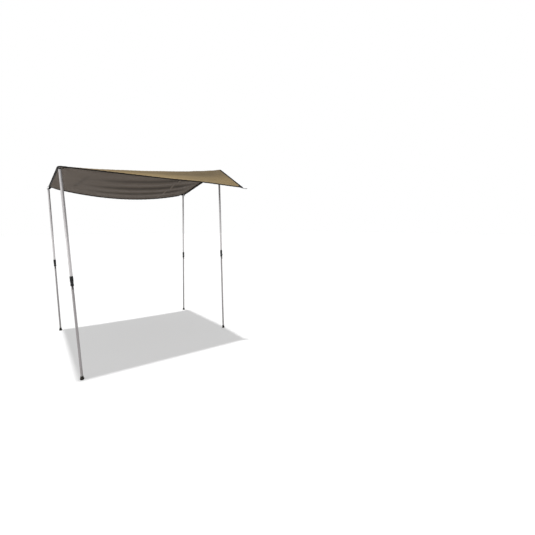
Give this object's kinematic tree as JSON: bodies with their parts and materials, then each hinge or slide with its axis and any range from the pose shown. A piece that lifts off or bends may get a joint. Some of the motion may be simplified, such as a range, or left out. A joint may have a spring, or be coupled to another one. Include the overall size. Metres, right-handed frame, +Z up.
{
  "type": "side awning",
  "caption": "Ridged cloth side awning, tan above and taupe below, that zips to a tent's porch and stands on telescopic poles with lever clamps and rubber feet.",
  "frame": {"origin": "on the ground, under the middle of the whole awning's box", "axes": "+X towards the zipped side, +Y from the low rear gable towards the front, +Z up"},
  "size_m": [2.0184, 2.1824, 2.3702],
  "materials": {
    "canopy_cloth": "plain-weave coated polyester, tan above and dark taupe below",
    "edge_binding": "dark woven binding tape with lockstitch",
    "webbing": "black polyester webbing",
    "eyelet_metal": "nickel-plated eyelet",
    "zip_nylon": "black woven tape with moulded teeth",
    "zip_metal": "black enamelled die-cast metal",
    "pole_steel": "galvanised steel tube, drawn, slightly dull",
    "clamp_nylon": "black glass-filled nylon, fine moulded texture",
    "bolt_steel": "zinc-plated bolt",
    "foot_rubber": "black moulded rubber, dusty at the sole"
  },
  "bodies": {
    "canopy": {"main_panel": "canopy_cloth", "gable_panel": "canopy_cloth", "cross_seam_tape": "canopy_cloth", "outer_rear_patch": "canopy_cloth", "outer_front_patch": "canopy_cloth", "inner_front_patch": "canopy_cloth", "peak_patch": "canopy_cloth", "inner_rear_patch": "canopy_cloth", "front_hem": "edge_binding", "outer_hem": "edge_binding", "rear_hem": "edge_binding", "ridge_tape": "edge_binding", "outer_rear_tab": "webbing", "outer_front_tab": "webbing", "inner_front_tab": "webbing", "peak_tab": "webbing", "rear_strap": "webbing", "outer_rear_eyelet": "eyelet_metal", "outer_front_eyelet": "eyelet_metal", "inner_front_eyelet": "eyelet_metal", "peak_eyelet": "eyelet_metal", "rear_strap_eyelet": "eyelet_metal", "side_zip": "zip_nylon", "zip_end_stop": "zip_metal"},
    "zip_slider": {"zip_slider": "zip_metal"},
    "zip_pull": {"zip_pull": "zip_metal"},
    "outer_rear_upper_pole": {"outer_rear_spigot_plug": "clamp_nylon", "outer_rear_upper_tube": "pole_steel", "outer_rear_clamp_collar": "clamp_nylon", "outer_rear_clamp_bolt": "bolt_steel"},
    "outer_rear_lever": {"outer_rear_clamp_lever": "clamp_nylon"},
    "outer_rear_lower_pole": {"outer_rear_lower_tube": "pole_steel", "outer_rear_guide_bush": "clamp_nylon", "outer_rear_foot": "foot_rubber"},
    "outer_front_upper_pole": {"outer_front_spigot_plug": "clamp_nylon", "outer_front_upper_tube": "pole_steel", "outer_front_clamp_collar": "clamp_nylon", "outer_front_clamp_bolt": "bolt_steel"},
    "outer_front_lever": {"outer_front_clamp_lever": "clamp_nylon"},
    "outer_front_lower_pole": {"outer_front_lower_tube": "pole_steel", "outer_front_guide_bush": "clamp_nylon", "outer_front_foot": "foot_rubber"},
    "inner_front_upper_pole": {"inner_front_spigot_plug": "clamp_nylon", "inner_front_upper_tube": "pole_steel", "inner_front_clamp_collar": "clamp_nylon", "inner_front_clamp_bolt": "bolt_steel"},
    "inner_front_lever": {"inner_front_clamp_lever": "clamp_nylon"},
    "inner_front_lower_pole": {"inner_front_lower_tube": "pole_steel", "inner_front_guide_bush": "clamp_nylon", "inner_front_foot": "foot_rubber"},
    "ridge_upper_pole": {"ridge_spigot_plug": "clamp_nylon", "ridge_upper_tube": "pole_steel", "ridge_clamp_collar": "clamp_nylon", "ridge_clamp_bolt": "bolt_steel"},
    "ridge_lever": {"ridge_clamp_lever": "clamp_nylon"},
    "ridge_lower_pole": {"ridge_lower_tube": "pole_steel", "ridge_guide_bush": "clamp_nylon", "ridge_foot": "foot_rubber"}
  },
  "joints": [
    {"name": "zip_slide", "type": "slide", "parent": "canopy", "child": "zip_slider", "axis": [-0.0031, -0.9814, 0.1921], "range_m": [0, 1.22]},
    {"name": "zip_pull_swing", "type": "hinge", "parent": "zip_slider", "child": "zip_pull", "pos_m": [1.00516, 0.82969, 2.11927], "axis": [1, 0, 0], "range_deg": [-45, 45]},
    {"name": "outer_rear_lift", "type": "slide", "parent": "canopy", "child": "outer_rear_upper_pole", "axis": [-0.0099, 0.0032, 0.9999], "range_m": [-0.016, 0]},
    {"name": "outer_rear_telescope", "type": "slide", "parent": "outer_rear_upper_pole", "child": "outer_rear_lower_pole", "axis": [-0.0099, 0.0032, 0.9999], "range_m": [0, 0.85]},
    {"name": "outer_rear_clamp_swing", "type": "hinge", "parent": "outer_rear_upper_pole", "child": "outer_rear_lever", "pos_m": [-0.9779, -0.8698, 1.00651], "axis": [-1, 0, -0.0099], "range_deg": [0, 105]},
    {"name": "outer_front_lift", "type": "slide", "parent": "canopy", "child": "outer_front_upper_pole", "axis": [0.011, -0.0034, 0.9999], "range_m": [-0.016, 0]},
    {"name": "outer_front_telescope", "type": "slide", "parent": "outer_front_upper_pole", "child": "outer_front_lower_pole", "axis": [0.011, -0.0034, 0.9999], "range_m": [0, 0.85]},
    {"name": "outer_front_clamp_swing", "type": "hinge", "parent": "outer_front_upper_pole", "child": "outer_front_lever", "pos_m": [-0.95684, 1.04757, 1.00927], "axis": [-0.9999, 0, 0.011], "range_deg": [0, 105]},
    {"name": "inner_front_lift", "type": "slide", "parent": "canopy", "child": "inner_front_upper_pole", "axis": [0.0157, -0.0466, 0.9988], "range_m": [-0.016, 0]},
    {"name": "inner_front_telescope", "type": "slide", "parent": "inner_front_upper_pole", "child": "inner_front_lower_pole", "axis": [0.0157, -0.0466, 0.9988], "range_m": [0, 0.85]},
    {"name": "inner_front_clamp_swing", "type": "hinge", "parent": "inner_front_upper_pole", "child": "inner_front_lever", "pos_m": [0.95713, 0.86112, 1.02409], "axis": [-0.9999, -0.0004, 0.0157], "range_deg": [0, 105]},
    {"name": "ridge_lift", "type": "slide", "parent": "canopy", "child": "ridge_upper_pole", "axis": [-0.002, 0.0049, 1], "range_m": [-0.016, 0]},
    {"name": "ridge_telescope", "type": "slide", "parent": "ridge_upper_pole", "child": "ridge_lower_pole", "axis": [-0.002, 0.0049, 1], "range_m": [0, 0.98]},
    {"name": "ridge_clamp_swing", "type": "hinge", "parent": "ridge_upper_pole", "child": "ridge_lever", "pos_m": [0.97278, -0.44051, 1.1376], "axis": [-1, 0, -0.002], "range_deg": [0, 105]}
  ]
}
